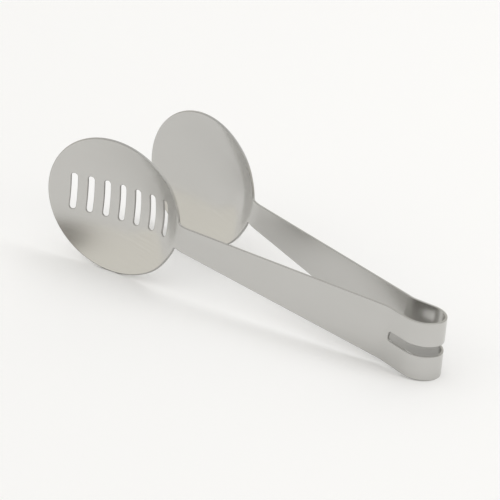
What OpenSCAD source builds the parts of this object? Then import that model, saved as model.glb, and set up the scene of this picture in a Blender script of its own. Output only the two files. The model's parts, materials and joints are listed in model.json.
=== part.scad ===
// Tea bag squeezer: one stainless strip with a dished press plate at each end,
// folded into tongs by a slotted spring bow. The plates nest when the arms are squeezed.
// It stands on edge, as it does on a table: on both plates' rims and on the bow's lower band.
// Millimetres. +X runs from the plates to the bow, +Z is up, the drained plate is at -Y.

/* [Sheet] */
// Thickness of the sheet
sheet_t = 0.8; // [0.5:0.1:1.2]

/* [Press plates] */
// Height of each oval plate, across the strip
plate_h = 48; // [40:1:56]
// Length of each oval plate, along its arm
plate_len = 55.8; // [44:0.2:64]
// Depth of the dish below the plate's rim
dish_depth = 6; // [3:0.5:7]
// Angle by which each plate is set back towards the middle plane from its arm
plate_set = 1.5; // [0:0.1:4]
// Radius of the corners where an arm runs into its plate
root_fillet = 1.2; // [0.5:0.1:3]

/* [Drain slots] */
// How many slots the front plate has
drain_count = 7; // [3:1:8]
// Width of one slot
drain_w = 2.4; // [1.5:0.1:3]
// Height of one slot, over its round ends
drain_h = 13.5; // [8:0.5:18]
// Distance from one slot to the next
drain_pitch = 6.2; // [4:0.1:6.6]

/* [Arms] */
// Length of an arm, from its plate's rim to the corner of the neck bend
arm_len = 80.5; // [60:0.5:100]
// Width of an arm at its plate
arm_root_w = 9; // [7:0.5:14]
// Angle of each arm to the middle plane
arm_angle = 9.5; // [7:0.1:12]

/* [Spring bow] */
// Width of the strip from the neck round the bow
bow_w = 19; // [15:0.5:24]
// Clear gap between the two sides at the corner of the neck bend
neck_gap = 11.6; // [8:0.2:16]
// Length of each shoulder, from the corner of the neck bend to the round of the bow
shoulder_len = 9.9; // [5:0.1:12]
// Angle by which each shoulder flares out again after the neck
shoulder_angle = 7; // [3:0.5:12]
// Radius of the neck bend, at the middle of the sheet
neck_r = 12; // [6:0.5:18]
// Height of the slot that parts the bow into two bands
slot_h = 3.2; // [2:0.1:5]
// Distance from the corner of the neck bend to the end of the slot
slot_start = 2.5; // [0.5:0.1:4]
// Radius of the corners at the slot's ends
slot_corner = 1; // [0.3:0.1:1]

/* [Hidden] */
$fn = 240;
// Points round a plate's outline, and steps round a neck bend
outline_points = 96;
neck_steps = 8;
steel = [0.75, 0.74, 0.71];
shaded_steel = [0.66, 0.65, 0.62];
half_t = sheet_t / 2;
// Room by which a cutter runs past the face that it cuts
past = 2;

// The strip's middle surface in plan, front half.
// X = 0 is at the neck bends, Y = 0 midway between the arms.
neck_y = neck_gap / 2 + half_t;
bow_r = (neck_y + shoulder_len * sin(shoulder_angle)) / cos(shoulder_angle);
bow_x = shoulder_len * cos(shoulder_angle) + bow_r * sin(shoulder_angle);
rim = [-arm_len * cos(arm_angle), -neck_y - arm_len * sin(arm_angle)];
plate_angle = arm_angle - plate_set;
half_len = plate_len / 2;
half_h = plate_h / 2;
plate_centre = rim - half_len * [cos(plate_angle), sin(plate_angle)];

// The dish: its radius along the arm, its radius across it, and its slope at the arm's end
dish_long_r = (half_len * half_len + dish_depth * dish_depth) / (2 * dish_depth);
dish_cross_r = (half_h * half_h + dish_depth * dish_depth) / (2 * dish_depth);
rim_slope = asin(half_len / dish_long_r);

// The neck bend: how far its round reaches along each side of the corner, and the centre of its round
neck_turn = arm_angle + shoulder_angle;
neck_reach = neck_r * tan(neck_turn / 2);
neck_start = [-neck_reach * cos(arm_angle), -neck_y - neck_reach * sin(arm_angle)];
neck_centre = neck_start + neck_r * [sin(arm_angle), -cos(arm_angle)];

// The root of an arm: a fillet circle that touches the arm's edge and the plate's end
plate_end_r = half_h * half_h / half_len;
arm_taper = (bow_w - arm_root_w) / 2 / (arm_len - neck_reach);
taper_cos = 1 / sqrt(1 + arm_taper * arm_taper);
fillet_rise = arm_root_w / 2 + root_fillet / taper_cos;
fillet_a = 1 + arm_taper * arm_taper;
fillet_b = plate_end_r + arm_taper * fillet_rise;
fillet_c = fillet_rise * fillet_rise - root_fillet * root_fillet - 2 * plate_end_r * root_fillet;
fillet_s = (sqrt(fillet_b * fillet_b - fillet_a * fillet_c) - fillet_b) / fillet_a;
fillet_w = fillet_rise + arm_taper * fillet_s;
// Where the fillet touches the arm's edge and the plate's end
fillet_on_arm = [fillet_s + root_fillet * arm_taper * taper_cos, fillet_w - root_fillet * taper_cos];
fillet_on_plate = [-plate_end_r, 0]
    + plate_end_r / (plate_end_r + root_fillet) * [fillet_s + plate_end_r, fillet_w];
// Where the root ends and the plain arm begins
root_len = fillet_s + root_fillet;
// How far the root reaches under the rim to join it
root_lap = 0.3;

// The stance on the table: the tilt that sets both plates and the bow's end on it,
// and the middle of the box round the part
bow_end_x = bow_x + bow_r + half_t;
stand_span = bow_end_x - plate_centre.x;
flat_half_len = half_len * cos(plate_angle);
stand_a = stand_span * stand_span - flat_half_len * flat_half_len;
stand_b = stand_span * bow_w / 2;
stand_c = half_h * half_h - bow_w * bow_w / 4;
tilt = atan((sqrt(stand_b * stand_b + stand_a * stand_c) - stand_b) / stand_a);
low_x = plate_centre.x * cos(tilt) - norm([flat_half_len * cos(tilt), half_h * sin(tilt)])
        - half_t * sin(plate_angle);
high_x = bow_end_x * cos(tilt) + bow_w / 2 * sin(tilt);
low_y = plate_centre.y - half_len * sin(plate_angle) - half_t / cos(rim_slope) * cos(plate_angle);
high_y = -plate_centre.y + (dish_depth - dish_long_r) * cos(plate_angle) + dish_long_r + half_t;
floor_drop = bow_end_x * sin(tilt) + bow_w / 2 * cos(tilt);

// The strip's width at a distance from the plate's rim
function half_w_at(s) = arm_root_w / 2 + arm_taper * s;

// Ellipse with the plate's outline
function plate_outline(inset) = [for (i = [0 : outline_points - 1])
    let (turn = 360 * i / outline_points)
    [(half_len - inset) * cos(turn), (half_h - inset) * sin(turn)]];

module on_table() {
    translate([-(low_x + high_x) / 2, -(low_y + high_y) / 2, floor_drop])
        rotate([0, tilt, 0])
            children();
}

module at_rear() {
    mirror([0, 1, 0]) children();
}

// Stands a flat outline up along the strip and gives it a thickness
module upright(thickness) {
    rotate([90, 0, 0]) linear_extrude(thickness, center = true) children();
}

module along_arm() {
    translate([rim.x, rim.y, 0]) rotate([0, 0, arm_angle]) children();
}

module along_plate() {
    translate([plate_centre.x, plate_centre.y, 0]) rotate([0, 0, plate_angle]) children();
}

// Lemon-shaped solid about the plate's long axis; grow moves its skin out from the middle surface
module dish_form(grow) {
    rotate([0, 90, 0])
        rotate_extrude()
            intersection() {
                translate([dish_cross_r - dish_long_r, 0]) circle(dish_long_r + grow);
                translate([0, -dish_long_r]) square(2 * dish_long_r);
            }
}

// Shell of the dished oval. It bulges towards the other arm, or away from it.
module dish(inwards) {
    side = inwards ? 1 : -1;
    intersection() {
        upright(2 * (dish_depth + past)) polygon(plate_outline(0));
        translate([0, side * (dish_depth - dish_cross_r), 0])
            difference() {
                dish_form(half_t);
                dish_form(-half_t);
            }
    }
}

// Flat root of the arm, with a fillet at each side, up to the rim
module arm_root() {
    upright(sheet_t)
        difference() {
            for (side = [0, 1])
                mirror([0, side])
                    difference() {
                        polygon([
                            [-half_len, 0],
                            [root_len, 0],
                            [root_len, half_w_at(root_len)],
                            fillet_on_arm,
                            [fillet_s, fillet_w],
                            fillet_on_plate
                        ]);
                        translate([fillet_s, fillet_w]) circle(root_fillet);
                    }
            translate([-half_len, 0]) polygon(plate_outline(root_lap));
        }
}

// Row of upright drain slots with round ends
module drain_slots() {
    rotate([0, -tilt, 0])
        for (i = [0 : drain_count - 1])
            translate([(i - (drain_count - 1) / 2) * drain_pitch, 0, 0])
                upright(2 * (dish_depth + past)) {
                    square([drain_w, drain_h - drain_w], center = true);
                    for (end = [-1, 1])
                        translate([0, end * (drain_h - drain_w) / 2]) circle(drain_w / 2);
                }
}

module plate_with_root(inwards) {
    along_plate() dish(inwards);
    along_arm() arm_root();
}

// Plain tapered arm, from its root to the start of the neck bend
module arm() {
    flat_end = arm_len - neck_reach;
    along_arm()
        upright(sheet_t)
            polygon([
                [root_len, -half_w_at(root_len)],
                [flat_end, -bow_w / 2],
                [flat_end, bow_w / 2],
                [root_len, half_w_at(root_len)]
            ]);
}

// Slot outline from its rounded end onwards
module bow_slot(length) {
    translate([slot_corner, -slot_h / 2]) square([length - slot_corner, slot_h]);
    translate([0, slot_corner - slot_h / 2]) square([length, slot_h - 2 * slot_corner]);
    for (side = [-1, 1])
        translate([slot_corner, side * (slot_h / 2 - slot_corner)]) circle(slot_corner);
}

// Points along the neck bend, from the arm to the shoulder, on one face of the sheet
function neck_bend(r) = [for (i = [0 : neck_steps])
    let (heading = arm_angle - neck_turn * i / neck_steps)
    neck_centre + r * [-sin(heading), cos(heading)]];

// Forked shoulder: the neck bend and the flat stretch after it, up to the round of the bow
module shoulder() {
    half_sheet = half_t * [sin(shoulder_angle), cos(shoulder_angle)];
    bow_start = [bow_x, 0] - bow_r * [sin(shoulder_angle), cos(shoulder_angle)];
    outer_face = concat(neck_bend(neck_r - half_t), [bow_start - half_sheet]);
    inner_bend = neck_bend(neck_r + half_t);
    inner_face = concat([bow_start + half_sheet], [for (i = [neck_steps : -1 : 0]) inner_bend[i]]);
    difference() {
        linear_extrude(bow_w, center = true)
            polygon(concat(outer_face, inner_face));
        translate([0, -neck_y, 0])
            rotate([0, 0, -shoulder_angle])
                translate([slot_start, 0, 0])
                    upright(sheet_t + past)
                        bow_slot(shoulder_len);
    }
}

// One band of the bow, from one shoulder round to the other, above or below the slot
module bow_band(above) {
    band_h = (bow_w - slot_h) / 2;
    low = above ? slot_h / 2 : -bow_w / 2;
    translate([bow_x, 0, 0])
        rotate([0, 0, -90 - shoulder_angle])
            rotate_extrude(angle = 180 + 2 * shoulder_angle)
                translate([bow_r - half_t, low])
                    square([sheet_t, band_h]);
}

module front_press_plate() {
    color(steel)
        on_table()
            difference() {
                plate_with_root(true);
                along_plate() drain_slots();
            }
}

module front_arm() {
    color(steel) on_table() arm();
}

module front_shoulder() {
    color(steel) on_table() shoulder();
}

module upper_bow() {
    color(steel) on_table() bow_band(true);
}

module lower_bow() {
    color(steel) on_table() bow_band(false);
}

module rear_shoulder() {
    color(shaded_steel) on_table() at_rear() shoulder();
}

module rear_arm() {
    color(shaded_steel) on_table() at_rear() arm();
}

module rear_press_plate() {
    color(shaded_steel) on_table() at_rear() plate_with_root(false);
}

front_press_plate();
front_arm();
front_shoulder();
upper_bow();
lower_bow();
rear_shoulder();
rear_arm();
rear_press_plate();
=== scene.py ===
# Tea bag squeezer: one strip of satin stainless sheet, with a dished press plate at each end and a slotted
# spring bow in the middle. Each piece is drawn flat, as a blank in (along the strip, across the strip),
# then lifted onto the bent middle surface and given the sheet's thickness and deburred edges. Metres.
import json
import math

import bpy
import numpy as np
from bpy.props import FloatProperty, FloatVectorProperty, IntProperty, PointerProperty, StringProperty
from bpy.types import Operator, Panel, PropertyGroup
from mathutils import Matrix, Vector
from mathutils.geometry import delaunay_2d_cdt


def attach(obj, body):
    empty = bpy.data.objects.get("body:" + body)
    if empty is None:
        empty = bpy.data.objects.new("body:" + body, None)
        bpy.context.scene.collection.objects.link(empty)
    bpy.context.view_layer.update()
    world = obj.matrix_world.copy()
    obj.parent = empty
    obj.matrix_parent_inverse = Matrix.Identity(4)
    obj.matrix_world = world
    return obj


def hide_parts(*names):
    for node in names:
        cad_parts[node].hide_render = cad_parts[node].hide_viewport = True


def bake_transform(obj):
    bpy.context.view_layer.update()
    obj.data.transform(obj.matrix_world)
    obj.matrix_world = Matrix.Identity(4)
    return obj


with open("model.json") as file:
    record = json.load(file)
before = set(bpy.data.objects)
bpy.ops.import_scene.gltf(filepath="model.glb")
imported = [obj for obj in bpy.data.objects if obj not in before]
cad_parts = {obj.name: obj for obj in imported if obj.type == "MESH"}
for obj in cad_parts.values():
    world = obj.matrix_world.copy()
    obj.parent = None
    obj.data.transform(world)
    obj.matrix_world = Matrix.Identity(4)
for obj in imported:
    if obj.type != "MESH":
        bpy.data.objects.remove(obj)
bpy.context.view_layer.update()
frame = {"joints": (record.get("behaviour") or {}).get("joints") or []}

bl_info = {
    "name": "Tea bag squeezer",
    "version": (1, 0, 0),
    "blender": (4, 5, 0),
    "location": "View3D > Sidebar > Squeezer",
    "description": "Builds a sprung stainless tea bag squeezer and its studio",
    "category": "Object",
}

MM = 0.001
SIDES = {"front": 1, "rear": -1}
LEVELS = {"upper": 1, "lower": -1}
BLANK_UV = "blank"

joints = {joint["name"]: joint for joint in frame["joints"]}


# Sizes and colours


class StripSizes(PropertyGroup):
    """Sizes of the strip. They are those of the solids, apart from the edges' round, the dish's skew, hollow,
    draw and crease, and the bow's lean and rise, which the scene adds
    """
    sheet_thickness: FloatProperty(
        name="Sheet", description="Thickness of the sheet", default=0.8 * MM, unit="LENGTH")
    edge_round: FloatProperty(
        name="Edge round", description="Radius of the deburred edges", default=0.2 * MM, unit="LENGTH")
    plate_height: FloatProperty(
        name="Plate height", description="Oval plate, across the strip", default=48 * MM, unit="LENGTH")
    plate_length: FloatProperty(
        name="Plate length", description="Oval plate, along its arm", default=55.8 * MM, unit="LENGTH")
    dish_depth: FloatProperty(
        name="Dish depth", description="Depth of the dish below its rim", default=6 * MM, unit="LENGTH")
    dish_skew: FloatProperty(
        name="Dish skew", description="How much steeper the dish's wall is at the arm than far from it",
        default=0.3)
    root_hollow: FloatProperty(
        name="Root hollow", description="Extra depth where the dish is drawn in beside its arm",
        default=1.5 * MM, unit="LENGTH")
    root_draw: FloatProperty(
        name="Root draw", description="How far the rim is drawn in beside its arm",
        default=1 * MM, unit="LENGTH")
    draw_reach: FloatProperty(
        name="Draw reach", description="How far the drawn-in rim runs from its arm along the plate",
        default=9 * MM, unit="LENGTH")
    plate_set: FloatProperty(
        name="Plate set", description="Angle of each plate to its arm",
        default=math.radians(1.5), subtype="ANGLE")
    root_fillet: FloatProperty(
        name="Root fillet", description="Corner between arm and plate", default=1.2 * MM, unit="LENGTH")
    crease: FloatProperty(
        name="Crease", description="How softly the dish runs out into the arm", default=2 * MM, unit="LENGTH")
    drain_count: IntProperty(
        name="Drain slots", description="How many slots the front plate has", default=7)
    drain_width: FloatProperty(
        name="Drain width", description="Width of one slot", default=2.4 * MM, unit="LENGTH")
    drain_height: FloatProperty(
        name="Drain height", description="Height of one slot", default=13.5 * MM, unit="LENGTH")
    drain_pitch: FloatProperty(
        name="Drain pitch", description="From one slot to the next", default=6.2 * MM, unit="LENGTH")
    arm_length: FloatProperty(
        name="Arm length", description="From the plate's rim to the neck bend",
        default=80.5 * MM, unit="LENGTH")
    arm_root_width: FloatProperty(
        name="Arm root", description="Width of an arm at its plate", default=9 * MM, unit="LENGTH")
    arm_angle: FloatProperty(
        name="Arm angle", description="Angle of each arm to the middle plane",
        default=math.radians(9.5), subtype="ANGLE")
    bow_width: FloatProperty(
        name="Bow width", description="Width of the strip round the bow", default=19 * MM, unit="LENGTH")
    neck_gap: FloatProperty(
        name="Neck gap", description="Clear gap at the neck bends", default=11.6 * MM, unit="LENGTH")
    shoulder_length: FloatProperty(
        name="Shoulder", description="From the neck bend to the bow", default=9.9 * MM, unit="LENGTH")
    shoulder_angle: FloatProperty(
        name="Shoulder angle", description="Flare of each shoulder after the neck",
        default=math.radians(7), subtype="ANGLE")
    bow_lean: FloatProperty(
        name="Bow lean", description="Lean of the bow's upper edge towards the plates",
        default=math.radians(9.3), subtype="ANGLE")
    bow_rise: FloatProperty(
        name="Bow rise", description="How far the bow's upper edge rises from the necks to its middle",
        default=1.1 * MM, unit="LENGTH")
    neck_radius: FloatProperty(
        name="Neck radius", description="Bend at the middle of the sheet", default=12 * MM, unit="LENGTH")
    slot_height: FloatProperty(
        name="Bow slot", description="Gap between the bow's two bands", default=3.2 * MM, unit="LENGTH")
    slot_start: FloatProperty(
        name="Slot start", description="From the neck bend to the slot's end",
        default=2.5 * MM, unit="LENGTH")
    slot_corner: FloatProperty(
        name="Slot corner", description="Corner radius at the slot's ends", default=1 * MM, unit="LENGTH")


class FinishColours(PropertyGroup):
    """Colours as sRGB hex values, and how satin the sheet is"""
    steel_dark: StringProperty(
        name="Steel, dark", description="Darker brush marks", default="#C2C1BE")
    steel_light: StringProperty(
        name="Steel, light", description="Lighter brush marks", default="#C9C8C5")
    edge_dark: StringProperty(
        name="Edge, dark", description="Sheared part of a cut edge", default="#989794")
    edge_light: StringProperty(
        name="Edge, light", description="Burnished part of a cut edge", default="#BCBBB8")
    roughness: FloatProperty(
        name="Roughness", description="Mean roughness of the satin sheet", default=0.22, subtype="FACTOR")
    floor: StringProperty(
        name="Floor", description="Plain studio floor", default="#FBFBFB")


class StudioSettings(PropertyGroup):
    """Camera and light"""
    target: FloatVectorProperty(
        name="Target", description="Point at the middle of the picture",
        default=(-7.95 * MM, 1.5 * MM, 15.6 * MM), subtype="TRANSLATION")
    distance: FloatProperty(
        name="Distance", description="From the camera to the target", default=760 * MM, unit="LENGTH")
    azimuth: FloatProperty(
        name="Azimuth", description="Camera's turn from the front",
        default=math.radians(37.25), subtype="ANGLE")
    elevation: FloatProperty(
        name="Elevation", description="Camera's height above the floor",
        default=math.radians(22.5), subtype="ANGLE")
    roll: FloatProperty(
        name="Roll", description="Camera's turn about its own axis",
        default=math.radians(6.6), subtype="ANGLE")
    lens: FloatProperty(
        name="Lens", description="Focal length", default=158.4, subtype="DISTANCE_CAMERA")
    sky_high: StringProperty(
        name="Sky, high", description="Light from above", default="#F0F0F0")
    sky_low: StringProperty(
        name="Sky, low", description="Light from the sides", default="#FFFCF4")
    lamp_power: FloatProperty(
        name="Softbox", description="Power of the softbox", default=4.0, unit="POWER")
    lamp_place: FloatVectorProperty(
        name="Softbox place", description="Overhead, a little behind and towards the bow",
        default=(0.35, 0.5, 1.2), subtype="TRANSLATION")
    lamp_size: FloatVectorProperty(
        name="Softbox size", description="Width and depth of the softbox",
        default=(1.4, 1.0), size=2, unit="LENGTH")


# The bent strip


# Middle of the hollow beside the arm, and its reach along and across, as shares of the plate's half sizes
HOLLOW_PLACE, HOLLOW_REACH = 0.6, (0.27, 0.46)

# Step over which the slope of a surface is measured
SLOPE_STEP = 0.01 * MM


class StripForm:
    """Middle surface of the strip, worked out from the sizes.

    Its own frame has X towards the bow, Y across the gap to the rear, Z across the strip and its origin
    between the two neck bends. Distances along the strip start at the rim of a plate.
    """

    def __init__(self, sizes):
        self.sizes = sizes
        self.half_t = sizes.sheet_thickness / 2
        self.half_bow = sizes.bow_width / 2
        self.half_slot = sizes.slot_height / 2
        self.neck_and_bow(sizes)
        self.plate(sizes)
        self.root(sizes)
        self.place(sizes)

    def neck_and_bow(self, sizes):
        """Plan of the arm, the neck bend, the shoulder and the bow"""
        arm, flare = sizes.arm_angle, sizes.shoulder_angle
        neck_y = sizes.neck_gap / 2 + self.half_t
        self.bow_radius = (neck_y + sizes.shoulder_length * math.sin(flare)) / math.cos(flare)
        self.rim = np.array([-sizes.arm_length * math.cos(arm), -neck_y - sizes.arm_length * math.sin(arm)])
        reach = sizes.neck_radius * math.tan((arm + flare) / 2)
        neck_length = sizes.neck_radius * (arm + flare)
        self.arm_end = sizes.arm_length - reach
        self.neck_end = self.arm_end + neck_length
        self.bow_start = self.neck_end + sizes.shoulder_length - reach
        self.bow_end = self.bow_start + self.bow_radius * (math.pi + 2 * flare)
        self.bow_middle = (self.bow_start + self.bow_end) / 2
        self.slot_end = self.arm_end + neck_length / 2 + sizes.slot_start
        self.fork = (self.neck_end + self.bow_start) / 2
        self.taper = (self.half_bow - sizes.arm_root_width / 2) / self.arm_end

    def plate(self, sizes):
        """Middle and turn of the dished plate"""
        self.half_length = sizes.plate_length / 2
        self.half_height = sizes.plate_height / 2
        angle = sizes.arm_angle - sizes.plate_set
        self.plate_along = np.array([math.cos(angle), math.sin(angle)])
        self.plate_centre = self.rim - self.half_length * self.plate_along

    def root(self, sizes):
        """Fillet circle that touches the arm's edge and the plate's end, and the seam past the crease,
        measured from the rim
        """
        fillet = sizes.root_fillet
        end_radius = self.half_height ** 2 / self.half_length
        slant = math.hypot(1, self.taper)
        rise = sizes.arm_root_width / 2 + fillet * slant
        # The centre lies on a line beside the arm's edge, both radii away from the centre of the circle that
        # stands for the plate's end
        half_linear = end_radius + self.taper * rise
        constant = rise ** 2 - fillet ** 2 - 2 * end_radius * fillet
        along = (math.sqrt(half_linear ** 2 - slant ** 2 * constant) - half_linear) / slant ** 2
        self.fillet_centre = np.array([along, rise + self.taper * along])
        self.fillet_on_arm = self.fillet_centre + fillet / slant * np.array([self.taper, -1])
        end_centre = np.array([-end_radius, 0])
        to_plate = end_centre - self.fillet_centre
        self.fillet_on_plate = self.fillet_centre + fillet * to_plate / np.linalg.norm(to_plate)
        self.root_end = along + fillet + sizes.crease

    def place(self, sizes):
        """Turn and shift from the strip's frame to the solids' frame, from the four bend lines"""
        ends = {}
        for end in ("bow", "neck"):
            lines = [np.array(joints[f"{side}_{end}_bend"]["pos_m"]) for side in SIDES]
            ends[end] = sum(lines) / len(lines)
        along = ends["bow"] - ends["neck"]
        along /= np.linalg.norm(along)
        across = np.array(joints["rear_bow_bend"]["axis"])
        self.turn = np.column_stack([along, np.cross(across, along), across])
        plan, heading = self.plan(np.array([self.bow_start]))
        inner_face = plan + self.half_t * unit_normal(heading)
        self.shift = ends["bow"] - self.turn @ np.array([inner_face[0, 0], 0, 0])

    def half_width(self, along):
        """Half the width of the tapered arm"""
        return self.sizes.arm_root_width / 2 + self.taper * along

    def plan(self, along):
        """Points of the front arm, neck, shoulder and bow in plan, and the strip's heading there"""
        sizes = self.sizes
        in_neck = np.clip(along - self.arm_end, 0, self.neck_end - self.arm_end)
        in_bow = np.clip(along - self.bow_start, 0, None)
        on_arm = np.minimum(along, self.arm_end)
        on_shoulder = np.clip(along, self.neck_end, self.bow_start) - self.neck_end
        arm_way = np.array([math.cos(sizes.arm_angle), math.sin(sizes.arm_angle)])
        shoulder_way = np.array([math.cos(sizes.shoulder_angle), -math.sin(sizes.shoulder_angle)])
        neck_heading = sizes.arm_angle - in_neck / sizes.neck_radius
        neck_turn = unit_normal(neck_heading) - unit_normal(np.full_like(along, sizes.arm_angle))
        bow_heading = in_bow / self.bow_radius - sizes.shoulder_angle
        bow_turn = unit_normal(bow_heading) - unit_normal(np.full_like(along, -sizes.shoulder_angle))
        plan = (self.rim + np.outer(on_arm, arm_way) + sizes.neck_radius * neck_turn
                + np.outer(on_shoulder, shoulder_way) - self.bow_radius * bow_turn)
        return plan, neck_heading + in_bow / self.bow_radius

    def bend(self, blank, offset):
        """Lifts points of the flat blank onto the front arm, neck, shoulder and bow, which leans and rises"""
        along, across = blank.T
        plan, heading = self.plan(along)
        lean, lean_rate = self.lean(along)
        rise, rise_rate = self.rise(along)
        level = (across + self.half_bow) / self.sizes.bow_width
        surface = np.column_stack([plan[:, 0] - lean * across, plan[:, 1], across + rise * level])
        ahead, aside = np.cos(heading) - lean_rate * across, np.sin(heading)
        stretch = 1 + rise / self.sizes.bow_width
        to_rear = stretch * ahead + lean * rise_rate * level
        normal = np.column_stack([-stretch * aside, to_rear, -lean * aside])
        normal /= np.linalg.norm(normal, axis=1)[:, None]
        return surface + offset * normal, normal

    def lean(self, along):
        """Slant of the strip, which grows from the arm's end to the bow, and its rate along the strip"""
        run = self.bow_start - self.arm_end
        share = (along - self.arm_end) / run
        most = math.tan(self.sizes.bow_lean)
        return most * ease(share), most * ease_rate(share) / run

    def rise(self, along):
        """Rise of the upper edge, which grows from the arms' ends to the bow's middle, and its rate"""
        run = self.bow_middle - self.arm_end
        share = 1 - np.abs(along - self.bow_middle) / run
        most = self.sizes.bow_rise
        return most * ease(share), most * ease_rate(share) * np.sign(self.bow_middle - along) / run

    def dish_height(self, blank, bulge):
        """Height of the plate's middle surface over its rim plane, run out softly into the flat arm"""
        along, across = blank.T
        right, up = along / self.half_length, across / self.half_height
        dish = self.sizes.dish_depth * (1 - right ** 2 - up ** 2) * (1 + self.sizes.dish_skew * right)
        beside, level = (right - HOLLOW_PLACE) / HOLLOW_REACH[0], up / HOLLOW_REACH[1]
        dish += self.sizes.root_hollow * np.exp(-beside ** 2 - level ** 2)
        arm = bulge * (along - self.half_length) * math.tan(self.sizes.plate_set)
        width = self.sizes.crease
        near = np.clip(1 - np.abs(dish - arm) / width, 0, None)
        joined = np.maximum(dish, arm) + near ** 2 * width / 4
        root_half = self.fillet_on_plate[1]
        share = ease(2 - np.abs(across) / root_half) * (along > 0)
        return bulge * (dish + (joined - dish) * share)

    def press(self, bulge):
        """Lift of a plate's blank: bulge is 1 where the dish stands towards the other arm and -1 away"""
        steps = SLOPE_STEP * np.eye(2)
        plate_across = np.array([-self.plate_along[1], self.plate_along[0]])

        def lift(blank, offset):
            height = self.dish_height(blank, bulge)
            rises = [self.dish_height(blank + step, bulge) - self.dish_height(blank - step, bulge)
                     for step in steps]
            slope_along, slope_across = np.array(rises) / (2 * SLOPE_STEP)
            plan = (self.plate_centre + np.outer(blank[:, 0], self.plate_along)
                    + np.outer(height, plate_across))
            plan_normal = plate_across - np.outer(slope_along, self.plate_along)
            normal = np.column_stack([plan_normal, -slope_across])
            normal /= np.linalg.norm(normal, axis=1)[:, None]
            return np.column_stack([plan, blank[:, 1]]) + offset * normal, normal

        return lift

    def to_frame(self, points, side, shift=1):
        """Points of the strip's own frame, or directions with shift 0, in the solids' frame"""
        return (points * [1, side, 1]) @ self.turn.T + shift * self.shift

    def spot(self, along, side):
        """Point in the middle of the strip, in the solids' frame"""
        return tuple(self.to_frame(self.bend(np.array([[along, 0]]), 0)[0], side)[0])


def ease(share):
    """Smooth step from 0 to 1"""
    share = np.clip(share, 0, 1)
    return share ** 2 * (3 - 2 * share)


def ease_rate(share):
    """Slope of the smooth step"""
    share = np.clip(share, 0, 1)
    return 6 * share * (1 - share)


def unit_normal(heading):
    """Unit vectors to the left of a heading"""
    return np.column_stack([-np.sin(heading), np.cos(heading)])


# Flat blanks


def straight(start, end, step):
    """Points of a straight run, without its last"""
    start, end = np.array(start), np.array(end)
    count = max(1, math.ceil(np.linalg.norm(end - start) / step))
    return start + (end - start) * (np.arange(count) / count)[:, None]


def round_run(centre, radius, start, end, step):
    """Points of a circular run between two angles, without its last"""
    count = max(2, math.ceil(abs(end - start) * radius / step))
    angles = start + (end - start) * np.arange(count) / count
    return np.array(centre) + radius * np.column_stack([np.cos(angles), np.sin(angles)])


def join_runs(runs):
    """Closed outline from runs of (points, is a seam), with a seam mark for each of its edges"""
    points = np.concatenate([run for run, seam in runs])
    seams = np.concatenate([np.full(len(run), seam) for run, seam in runs])
    return points, seams


# Least sine of a corner between a free edge and a seam, which keeps the step along the seam short
LEAST_SINE = 0.5


def inward(points, seams):
    """Step into the metal at each point, one unit from its free edges and along its seams"""
    ahead = np.roll(points, -1, axis=0) - points
    ahead /= np.linalg.norm(ahead, axis=1)[:, None]
    behind = np.roll(ahead, 1, axis=0)
    seam_ahead, seam_behind = seams, np.roll(seams, 1)
    left_ahead = np.column_stack([-ahead[:, 1], ahead[:, 0]])
    left_behind = np.roll(left_ahead, 1, axis=0)
    both = (left_ahead + left_behind) / (1 + np.sum(left_ahead * left_behind, axis=1))[:, None]
    sine_ahead = np.where(seam_ahead, np.sum(ahead * left_behind, axis=1), 1)
    sine_behind = np.where(seam_behind, -np.sum(behind * left_ahead, axis=1), 1)
    along_ahead = ahead / sine_ahead[:, None].clip(LEAST_SINE)
    along_behind = -behind / sine_behind[:, None].clip(LEAST_SINE)
    step = np.where((seam_ahead & ~seam_behind)[:, None], along_ahead, both)
    step = np.where((seam_behind & ~seam_ahead)[:, None], along_behind, step)
    return np.where((seam_ahead & seam_behind)[:, None], 0, step)


def inside(points, outline):
    """Whether each point lies within a closed outline"""
    x, y = points[:, :1], points[:, 1:]
    ax, ay = outline.T
    bx, by = np.roll(outline, -1, axis=0).T
    straddles = (ay > y) != (by > y)
    rise = np.where(by == ay, 1, by - ay)
    crossing = ax + (y - ay) * (bx - ax) / rise
    return np.sum(straddles & (x < crossing), axis=1) % 2 == 1


# Twice the area, in square metres, under which a triangle is a sliver along a straight edge
SLIVER_AREA = 1e-6 * MM ** 2

# Least distance of a filling point from an edge, in steps
EDGE_DISTANCE = 0.6

# Setting for triangles over the whole hull, and how near, in steps, two points count as one
WHOLE_HULL, SAME_POINT = 0, 1e-7


def fill(edges, outline, holes, step):
    """Triangles that fill an outline round its holes, and the points that they use, edges first"""
    rim = np.concatenate(edges)
    low, high = outline.min(axis=0), outline.max(axis=0)
    grid = np.stack(np.meshgrid(*[np.arange(a, b, step) for a, b in zip(low, high)]), axis=-1).reshape(-1, 2)
    keep = inside(grid, outline)
    for hole in holes:
        keep &= ~inside(grid, hole)
    grid = grid[keep]
    gap = np.array([np.min(np.linalg.norm(rim - point, axis=1)) for point in grid])
    points = np.concatenate([rim, grid[gap > EDGE_DISTANCE * step]])
    bounds, first = [], 0
    for edge in edges:
        bounds += [(first + i, first + (i + 1) % len(edge)) for i in range(len(edge))]
        first += len(edge)
    in_steps = [Vector(point) for point in points / step]
    _, _, triangles, origins, _, _ = delaunay_2d_cdt(in_steps, bounds, [], WHOLE_HULL, SAME_POINT)
    source = [origin[0] for origin in origins]
    faces = np.array([[source[i] for i in triangle] for triangle in triangles])
    corners = points[faces]
    (ax, ay), (bx, by) = (corners[:, i].T - corners[:, 0].T for i in (1, 2))
    middles = corners.mean(axis=1)
    keep = inside(middles, edges[0]) & (np.abs(ax * by - ay * bx) > SLIVER_AREA)
    for edge in edges[1:]:
        keep &= ~inside(middles, edge)
    return points, faces[keep]


# From a blank to a piece of sheet


# Facets in the round between a skin and the cut
EDGE_STEPS = 3

# Least length that a direction is divided by
LEAST_LENGTH = 1e-12


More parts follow.
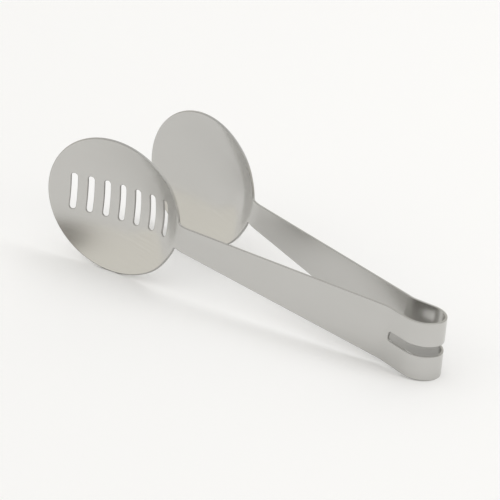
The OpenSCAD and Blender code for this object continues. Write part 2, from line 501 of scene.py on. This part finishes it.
def sheet_piece(name, form, side, lift, runs, holes, step):
    """Closed mesh of one piece of sheet: two skins, deburred free edges and square seam ends"""
    sizes = form.sizes
    outline, seams = join_runs(runs)
    loops = [(outline, seams)] + [(hole, np.zeros(len(hole), bool)) for hole in holes]
    steps_in = [inward(points, marks) for points, marks in loops]
    skin_edges = [points + sizes.edge_round * move for (points, marks), move in zip(loops, steps_in)]
    blank, triangles = fill(skin_edges, outline, holes, step)

    positions, normals, blanks, faces, flat, materials = [], [], [], [], [], []

    def add_points(flat_points, offset, facing, outward=None, tilt=0.0):
        """Adds a layer of points and returns the index of its first"""
        first = sum(len(layer) for layer in positions)
        place, up = lift(flat_points, offset)
        normal = facing * up
        if outward is not None:
            ahead = lift(flat_points + SLOPE_STEP * outward, offset)[0] - place
            ahead /= np.linalg.norm(ahead, axis=1)[:, None].clip(LEAST_LENGTH)
            normal = math.cos(tilt) * normal + math.sin(tilt) * ahead
        positions.append(form.to_frame(place, side))
        normals.append(form.to_frame(normal, side, shift=0))
        blanks.append(flat_points)
        return first

    inner = add_points(blank, form.half_t, 1)
    outer = add_points(blank, -form.half_t, -1)
    faces += [tuple(inner + face) for face in triangles]
    faces += [tuple(outer + face[::-1]) for face in triangles]
    flat += [False] * len(faces)
    materials += [0] * len(faces)

    tilts = np.linspace(0, math.pi / 2, EDGE_STEPS + 1)[1:]
    profile = [(1, tilt) for tilt in tilts] + [(-1, tilt) for tilt in tilts[::-1]]
    loop_start = 0
    for (points, marks), move in zip(loops, steps_in):
        rows = [inner + loop_start]
        for facing, tilt in profile:
            inset = sizes.edge_round * (1 - math.sin(tilt))
            depth = form.half_t - sizes.edge_round * (1 - math.cos(tilt))
            rows.append(add_points(points + inset * move, facing * depth, facing, -move, tilt))
        rows.append(outer + loop_start)
        loop_start += len(points)
        for upper, lower in zip(rows, rows[1:]):
            for i in range(len(points)):
                j = (i + 1) % len(points)
                faces.append((upper + i, lower + i, lower + j, upper + j))
                flat.append(bool(marks[i]))
                materials.append(0 if marks[i] else 1)
    return steel_mesh(name, np.concatenate(positions), np.concatenate(normals), np.concatenate(blanks),
                      faces if side < 0 else [face[::-1] for face in faces], flat, materials)


def steel_mesh(name, positions, normals, blanks, faces, flat, materials):
    """Blender object with smooth skins, flat seam ends and the blank as its UV map"""
    mesh = bpy.data.meshes.new(name)
    mesh.from_pydata(positions.tolist(), [], [[int(i) for i in face] for face in faces])
    mesh.materials.append(satin_brushed_stainless())
    mesh.materials.append(sheared_stainless_edge())
    mesh.polygons.foreach_set("material_index", materials)
    mesh.polygons.foreach_set("use_smooth", [True] * len(faces))
    mesh.update()
    uv_map = mesh.uv_layers.new(name=BLANK_UV)
    corner_normals = []
    for polygon, is_flat in zip(mesh.polygons, flat):
        for corner, vertex in zip(polygon.loop_indices, polygon.vertices):
            uv_map.data[corner].uv = blanks[vertex]
            corner_normals.append(tuple(polygon.normal) if is_flat else tuple(normals[vertex]))
    mesh.normals_split_custom_set(corner_normals)
    if mesh.validate(verbose=True):
        raise RuntimeError(f"{name} has faces that aren't sound")
    piece = bpy.data.objects.new(name, mesh)
    bpy.context.scene.collection.objects.link(piece)
    return piece


# Finishes


def linear(hex_value):
    """sRGB hex value as a linear RGBA colour"""
    shares = [int(hex_value[i:i + 2], 16) / 255 for i in (1, 3, 5)]
    return [c / 12.92 if c <= 0.04045 else ((c + 0.055) / 1.055) ** 2.4 for c in shares] + [1.0]


def add_node(tree, kind, settings=None, links=None):
    """Adds a node, sets its properties or sockets by name, and links its sockets to other nodes' outputs"""
    node = tree.nodes.new(kind)
    for name, value in (settings or {}).items():
        if isinstance(name, str) and hasattr(node, name):
            setattr(node, name, value)
        else:
            node.inputs[name].default_value = value
    for name, output in (links or {}).items():
        tree.links.new(output, node.inputs[name])
    return node


# Sockets of a colour Mix node
MIX_A, MIX_B, MIX_RESULT = 6, 7, 2


def new_material(name):
    """New material with an empty node tree"""
    material = bpy.data.materials.new(name)
    material.use_nodes = True
    material.node_tree.nodes.clear()
    return material, material.node_tree


def satin_brushed_stainless():
    """Stainless sheet, belt-brushed along the strip to a satin finish.

    It gives the eye a soft grey sheen that spreads across the brush marks, faint streaks along the strip
    and a slow clouding from handling.
    """
    name = "satin_brushed_stainless"
    if name in bpy.data.materials:
        return bpy.data.materials[name]
    colours = bpy.context.scene.squeezer_finish
    material, tree = new_material(name)
    # Belt marks are about 0.05 mm apart and 20 mm long; they are drawn 0.5 mm apart so that they show
    mark_pitch, mark_length, mark_depth = 0.5 * MM, 20 * MM, 0.01 * MM
    cloud_size = 18 * MM
    # How far the roughness goes up and down between marks, and between clouds
    mark_spread, cloud_spread = 0.02, 0.03
    uv = add_node(tree, "ShaderNodeUVMap", {"uv_map": BLANK_UV})
    stretch = add_node(tree, "ShaderNodeMapping", {"Scale": (1 / mark_length, 1 / mark_pitch, 1)},
                       {"Vector": uv.outputs["UV"]})
    marks = add_node(tree, "ShaderNodeTexNoise", {"noise_dimensions": "2D", "Scale": 1, "Detail": 5},
                     {"Vector": stretch.outputs["Vector"]})
    clouds = add_node(tree, "ShaderNodeTexNoise",
                      {"noise_dimensions": "2D", "Scale": 1 / cloud_size, "Detail": 2},
                      {"Vector": uv.outputs["UV"]})
    tone = add_node(tree, "ShaderNodeMix",
                    {"data_type": "RGBA", MIX_A: linear(colours.steel_dark),
                     MIX_B: linear(colours.steel_light)},
                    {"Factor": marks.outputs["Fac"]})
    grain = add_node(tree, "ShaderNodeMapRange",
                     {"To Min": colours.roughness - mark_spread, "To Max": colours.roughness + mark_spread},
                     {"Value": marks.outputs["Fac"]})
    handled = add_node(tree, "ShaderNodeMapRange", {"To Min": -cloud_spread, "To Max": cloud_spread},
                       {"Value": clouds.outputs["Fac"]})
    rough = add_node(tree, "ShaderNodeMath", {"operation": "ADD"},
                     {0: grain.outputs["Result"], 1: handled.outputs["Result"]})
    bump = add_node(tree, "ShaderNodeBump", {"Strength": 0.06, "Distance": mark_depth},
                    {"Height": marks.outputs["Fac"]})
    along = add_node(tree, "ShaderNodeTangent", {"direction_type": "UV_MAP", "uv_map": BLANK_UV})
    steel = add_node(tree, "ShaderNodeBsdfPrincipled", {"Metallic": 1.0, "Anisotropic": 0.5},
                     {"Base Color": tone.outputs[MIX_RESULT], "Roughness": rough.outputs["Value"],
                      "Normal": bump.outputs["Normal"], "Tangent": along.outputs["Tangent"]})
    add_node(tree, "ShaderNodeOutputMaterial", None, {"Surface": steel.outputs["BSDF"]})
    return material


def sheared_stainless_edge():
    """Cut edge of stainless sheet, sheared and then deburred.

    It gives the eye a thin line, darker and rougher than the skin, with short marks along the cut.
    """
    name = "sheared_stainless_edge"
    if name in bpy.data.materials:
        return bpy.data.materials[name]
    colours = bpy.context.scene.squeezer_finish
    material, tree = new_material(name)
    # Shear marks are about 0.1 mm apart; they are drawn 0.4 mm apart so that they show
    mark_pitch, mark_depth = 0.4 * MM, 0.02 * MM
    smoothest, roughest = 0.3, 0.45
    place = add_node(tree, "ShaderNodeTexCoord")
    marks = add_node(tree, "ShaderNodeTexNoise", {"Scale": 1 / mark_pitch, "Detail": 3},
                     {"Vector": place.outputs["Object"]})
    tone = add_node(tree, "ShaderNodeMix",
                    {"data_type": "RGBA", MIX_A: linear(colours.edge_dark),
                     MIX_B: linear(colours.edge_light)},
                    {"Factor": marks.outputs["Fac"]})
    rough = add_node(tree, "ShaderNodeMapRange", {"To Min": smoothest, "To Max": roughest},
                     {"Value": marks.outputs["Fac"]})
    bump = add_node(tree, "ShaderNodeBump", {"Strength": 0.2, "Distance": mark_depth},
                    {"Height": marks.outputs["Fac"]})
    steel = add_node(tree, "ShaderNodeBsdfPrincipled", {"Metallic": 1.0},
                     {"Base Color": tone.outputs[MIX_RESULT], "Roughness": rough.outputs["Result"],
                      "Normal": bump.outputs["Normal"]})
    add_node(tree, "ShaderNodeOutputMaterial", None, {"Surface": steel.outputs["BSDF"]})
    return material


def matt_studio_floor():
    """Matt white studio board, which gives the eye a plain pale ground with soft shadows."""
    material, tree = new_material("matt_studio_floor")
    board = add_node(tree, "ShaderNodeBsdfPrincipled",
                     {"Base Color": linear(bpy.context.scene.squeezer_finish.floor), "Roughness": 0.9,
                      "Specular IOR Level": 0.0})
    add_node(tree, "ShaderNodeOutputMaterial", None, {"Surface": board.outputs["BSDF"]})
    return material


# Operators


class SQUEEZER_OT_press_plates(Operator):
    """Dished oval plates with the roots of their arms, the front one with a row of drain slots"""
    bl_idname = "squeezer.press_plates"
    bl_label = "Press plates"

    def execute(self, context):
        form = StripForm(context.scene.squeezer_strip)
        step = 1 * MM
        for side_name, side in SIDES.items():
            holes = drain_slots(form) if side_name == "front" else []
            lift = form.press(side)
            plate = sheet_piece(f"{side_name}_dish", form, side, lift, plate_runs(form), holes, step)
            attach(plate, f"{side_name}_lever")
            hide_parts(f"{side_name}_press_plate")
        return {"FINISHED"}


def plate_runs(form):
    """Outline of a plate with its arm's root, anticlockwise from the lower corner of the seam"""
    step = 0.7 * MM
    end = np.array([form.half_length, 0])
    corner = end + [form.root_end, form.half_width(form.root_end)]
    spots = (form.fillet_on_arm, form.fillet_on_plate, form.fillet_centre)
    on_arm, on_plate, centre = (end + spot for spot in spots)
    start, stop = (math.atan2(*(spot - centre)[::-1]) for spot in (on_arm, on_plate))
    fillet = round_run(centre, form.sizes.root_fillet, start, stop, step / 3)
    upper = np.concatenate([straight(corner, on_arm, step / 2), fillet])
    rim_start = math.atan2(on_plate[1] / form.half_height, on_plate[0] / form.half_length)
    count = math.ceil(2 * math.pi * form.half_length / step)
    turn = np.linspace(rim_start, 2 * math.pi - rim_start, count)
    rim = np.column_stack([form.half_length * np.cos(turn), form.half_height * np.sin(turn)])
    flip = np.array([1, -1])
    lower = np.concatenate([upper, rim[:1]])[1:-1][::-1] * flip
    free = [(draw_in(form, run), False) for run in (upper, rim, lower)]
    return [(straight(corner * flip, corner, step), True), *free]


def draw_in(form, run):
    """Pulls an outline in beside the arm, where the sheet is drawn deepest, and leaves the seam"""
    beyond_rim = run[:, 0] - form.half_length
    reach = np.where(beyond_rim > 0, form.root_end, form.sizes.draw_reach)
    share = ease(1 - np.abs(beyond_rim) / reach)
    return run - np.outer(form.sizes.root_draw * share, [1, 0])


def drain_slots(form):
    """Clockwise outlines of the upright slots with round ends"""
    sizes = form.sizes
    step = 0.4 * MM
    tilt = math.asin(-form.turn[2, 0])
    upright = np.array([[math.cos(tilt), math.sin(tilt)], [-math.sin(tilt), math.cos(tilt)]])
    radius = sizes.drain_width / 2
    rise = sizes.drain_height / 2 - radius
    slots = []
    for i in range(sizes.drain_count):
        x = (i - (sizes.drain_count - 1) / 2) * sizes.drain_pitch
        slot = np.concatenate([
            round_run((x, rise), radius, math.pi, 0, step),
            straight((x + radius, rise), (x + radius, -rise), step),
            round_run((x, -rise), radius, 0, -math.pi, step),
            straight((x - radius, -rise), (x - radius, rise), step),
        ])
        slots.append(slot @ upright)
    return slots


class SQUEEZER_OT_arms(Operator):
    """Flat tapered arms, from the roots at the plates to the neck bends"""
    bl_idname = "squeezer.arms"
    bl_label = "Arms"

    def execute(self, context):
        form = StripForm(context.scene.squeezer_strip)
        step = 1.5 * MM
        root = (form.root_end, form.half_width(form.root_end))
        neck = (form.arm_end, form.half_bow)
        runs = four_sides((root[0], -root[1]), (neck[0], -neck[1]), neck, root, step)
        for side_name, side in SIDES.items():
            arm = sheet_piece(f"{side_name}_arm_sheet", form, side, form.bend, runs, [], step)
            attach(arm, f"{side_name}_lever")
            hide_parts(f"{side_name}_arm")
        return {"FINISHED"}


def four_sides(low_start, low_end, high_end, high_start, step):
    """Outline with free edges along the strip and seams at both of its ends"""
    corners = [low_start, low_end, high_end, high_start]
    return [(straight(a, b, step), seam)
            for a, b, seam in zip(corners, corners[1:] + corners[:1], (False, True, False, True))]


class SQUEEZER_OT_shoulders(Operator):
    """Neck bends with the slot's rounded ends, and the forked shoulders that flare out to the bow"""
    bl_idname = "squeezer.shoulders"
    bl_label = "Shoulders"

    def execute(self, context):
        form = StripForm(context.scene.squeezer_strip)
        step = 0.5 * MM
        for side_name, side in SIDES.items():
            neck = sheet_piece(f"{side_name}_neck", form, side, form.bend, neck_runs(form, step), [], step)
            form.spot(form.fork, side)
            form.spot(form.arm_end, side)
            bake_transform(neck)
            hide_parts(f"{side_name}_shoulder")
            for level_name, level in LEVELS.items():
                low, high = sorted((level * form.half_slot, level * form.half_bow))
                runs = four_sides((form.fork, low), (form.bow_start, low),
                                  (form.bow_start, high), (form.fork, high), step)
                prong = sheet_piece(f"{side_name}_{level_name}_prong", form, side, form.bend, runs, [], step)
                form.spot(form.bow_start, side)
                form.spot(form.fork, side)
                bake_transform(prong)
                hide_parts(f"{side_name}_shoulder")
        return {"FINISHED"}


def neck_runs(form, step):
    """Outline of the neck bend and the rounded end of the bow's slot, anticlockwise"""
    corner = form.sizes.slot_corner
    fine = step / 3
    slot_in = form.slot_end + corner
    slot_up = form.half_slot - corner
    return [
        (straight((form.arm_end, -form.half_bow), (form.fork, -form.half_bow), step), False),
        (straight((form.fork, -form.half_bow), (form.fork, -form.half_slot), step), True),
        (straight((form.fork, -form.half_slot), (slot_in, -form.half_slot), step), False),
        (round_run((slot_in, -slot_up), corner, -math.pi / 2, -math.pi, fine), False),
        (straight((form.slot_end, -slot_up), (form.slot_end, slot_up), fine), False),
        (round_run((slot_in, slot_up), corner, math.pi, math.pi / 2, fine), False),
        (straight((slot_in, form.half_slot), (form.fork, form.half_slot), step), False),
        (straight((form.fork, form.half_slot), (form.fork, form.half_bow), step), True),
        (straight((form.fork, form.half_bow), (form.arm_end, form.half_bow), step), False),
        (straight((form.arm_end, form.half_bow), (form.arm_end, -form.half_bow), step), True),
    ]


class SQUEEZER_OT_bow_bands(Operator):
    """Two bands of the round spring bow, above and below the slot"""
    bl_idname = "squeezer.bow_bands"
    bl_label = "Bow bands"

    def execute(self, context):
        form = StripForm(context.scene.squeezer_strip)
        step = 0.5 * MM
        for level_name, level in LEVELS.items():
            low, high = sorted((level * form.half_slot, level * form.half_bow))
            runs = four_sides((form.bow_start, low), (form.bow_end, low),
                              (form.bow_end, high), (form.bow_start, high), step)
            band = sheet_piece(f"{level_name}_band", form, 1, form.bend, runs, [], step)
            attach(band, "bow")
            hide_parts(f"{level_name}_bow")
        return {"FINISHED"}


class SQUEEZER_OT_studio(Operator):
    """Plain pale floor, soft light and the camera"""
    bl_idname = "squeezer.studio"
    bl_label = "Studio"

    def execute(self, context):
        settings = context.scene.squeezer_studio
        add_floor()
        add_sky(context.scene, settings)
        add_softbox(settings)
        add_camera(context.scene, settings)
        context.scene.view_settings.view_transform = "Standard"
        return {"FINISHED"}


def add_floor():
    """Board that ends a little in front of the object, its front edge turned towards the camera"""
    half, front, turn = 3.0, 0.2, math.radians(20)
    corners = [(-half, -front, 0), (half, -front, 0), (half, half, 0), (-half, half, 0)]
    mesh = bpy.data.meshes.new("studio_floor")
    mesh.from_pydata(corners, [], [(0, 1, 2, 3)])
    mesh.transform(Matrix.Rotation(turn, 4, "Z"))
    mesh.materials.append(matt_studio_floor())
    floor = bpy.data.objects.new("studio_floor", mesh)
    bpy.context.scene.collection.objects.link(floor)


# Darker places of the studio: azimuth, elevation and half width in degrees, and tone
DARK_PLACES = {
    "gap between the lights": (12, 8, 15, "#7E7A73"),
    "room behind": (155, 35, 25, "#3A3835"),
}

# Share of its half width over which a dark place has its full tone
DARK_CORE = 0.8

# Sines of the elevations between which the surround goes from its low tone to its high tone
SKY_TURN = (0.35, 0.8)


def add_sky(scene, settings):
    """Soft surround: bright and warm at the sides, dimmer overhead, with the dark places"""
    world = bpy.data.worlds.new("studio_surround")
    scene.world = world
    world.use_nodes = True
    tree = world.node_tree
    tree.nodes.clear()
    place = add_node(tree, "ShaderNodeTexCoord")
    height = add_node(tree, "ShaderNodeSeparateXYZ", None, {"Vector": place.outputs["Generated"]})
    rise = add_node(tree, "ShaderNodeMapRange",
                    {"interpolation_type": "SMOOTHSTEP", "From Min": SKY_TURN[0], "From Max": SKY_TURN[1]},
                    {"Value": height.outputs["Z"]})
    tone = add_node(tree, "ShaderNodeMix",
                    {"data_type": "RGBA", MIX_A: linear(settings.sky_low), MIX_B: linear(settings.sky_high)},
                    {"Factor": rise.outputs["Result"]})
    for azimuth, elevation, half_width, dark_tone in DARK_PLACES.values():
        way = towards(math.radians(azimuth), math.radians(elevation))
        nearness = add_node(tree, "ShaderNodeVectorMath", {"operation": "DOT_PRODUCT", 1: way},
                            {0: place.outputs["Generated"]})
        share = add_node(tree, "ShaderNodeMapRange",
                         {"interpolation_type": "SMOOTHSTEP", "From Min": math.cos(math.radians(half_width)),
                          "From Max": math.cos(math.radians(half_width * DARK_CORE))},
                         {"Value": nearness.outputs["Value"]})
        tone = add_node(tree, "ShaderNodeMix", {"data_type": "RGBA", MIX_B: linear(dark_tone)},
                        {"Factor": share.outputs["Result"], MIX_A: tone.outputs[MIX_RESULT]})
    glow = add_node(tree, "ShaderNodeBackground", {"Strength": 1.0}, {"Color": tone.outputs[MIX_RESULT]})
    add_node(tree, "ShaderNodeOutputWorld", None, {"Surface": glow.outputs["Background"]})


def add_softbox(settings):
    """Large soft lamp that faces the object"""
    light = bpy.data.lights.new("softbox", "AREA")
    light.shape = "RECTANGLE"
    light.size, light.size_y = settings.lamp_size
    light.energy = settings.lamp_power
    lamp = bpy.data.objects.new("softbox", light)
    lamp.location = settings.lamp_place
    lamp.rotation_euler = (-lamp.location).to_track_quat("-Z", "Y").to_euler()
    bpy.context.scene.collection.objects.link(lamp)


def towards(azimuth, elevation):
    """Unit vector to a place round the object; azimuth 0 is the front and turns to the bow's end"""
    level = math.cos(elevation)
    return Vector((math.sin(azimuth) * level, -math.cos(azimuth) * level, math.sin(elevation)))


# Width of the camera's sensor in millimetres
SENSOR_WIDTH = 36.0


def add_camera(scene, settings):
    """Camera that looks at the target from its azimuth and elevation, rolled about its own axis"""
    back = towards(settings.azimuth, settings.elevation)
    data = bpy.data.cameras.new("camera")
    data.lens = settings.lens
    data.sensor_width = SENSOR_WIDTH
    camera = bpy.data.objects.new("camera", data)
    turn = (-back).to_track_quat("-Z", "Y").to_matrix() @ Matrix.Rotation(settings.roll, 3, "Z")
    place = Vector(settings.target) + settings.distance * back
    camera.matrix_world = Matrix.Translation(place) @ turn.to_4x4()
    scene.collection.objects.link(camera)
    scene.camera = camera


class SQUEEZER_PT_panel(Panel):
    """Sizes, finishes and the steps of the build"""
    bl_idname = "SQUEEZER_PT_panel"
    bl_label = "Tea bag squeezer"
    bl_space_type = "VIEW_3D"
    bl_region_type = "UI"
    bl_category = "Squeezer"

    def draw(self, context):
        for operator in OPERATORS:
            self.layout.operator(operator.bl_idname)
        for name, group in GROUPS.items():
            box = self.layout.box()
            for prop in group.__annotations__:
                box.prop(getattr(context.scene, name), prop)


OPERATORS = (SQUEEZER_OT_press_plates, SQUEEZER_OT_arms, SQUEEZER_OT_shoulders, SQUEEZER_OT_bow_bands,
             SQUEEZER_OT_studio)
GROUPS = {"squeezer_strip": StripSizes, "squeezer_finish": FinishColours, "squeezer_studio": StudioSettings}


def register():
    """Adds the classes, and the settings to each scene"""
    for group in (*GROUPS.values(), *OPERATORS, SQUEEZER_PT_panel):
        bpy.utils.register_class(group)
    for name, group in GROUPS.items():
        setattr(bpy.types.Scene, name, PointerProperty(type=group))


def unregister():
    """Takes the settings and the classes away again"""
    for name in GROUPS:
        delattr(bpy.types.Scene, name)
    for group in reversed((*GROUPS.values(), *OPERATORS, SQUEEZER_PT_panel)):
        bpy.utils.unregister_class(group)


def main():
    """Builds the pieces and the studio"""
    register()
    bpy.ops.squeezer.press_plates()
    bpy.ops.squeezer.arms()
    bpy.ops.squeezer.shoulders()
    bpy.ops.squeezer.bow_bands()
    bpy.ops.squeezer.studio()


if __name__ == "__main__":
    main()
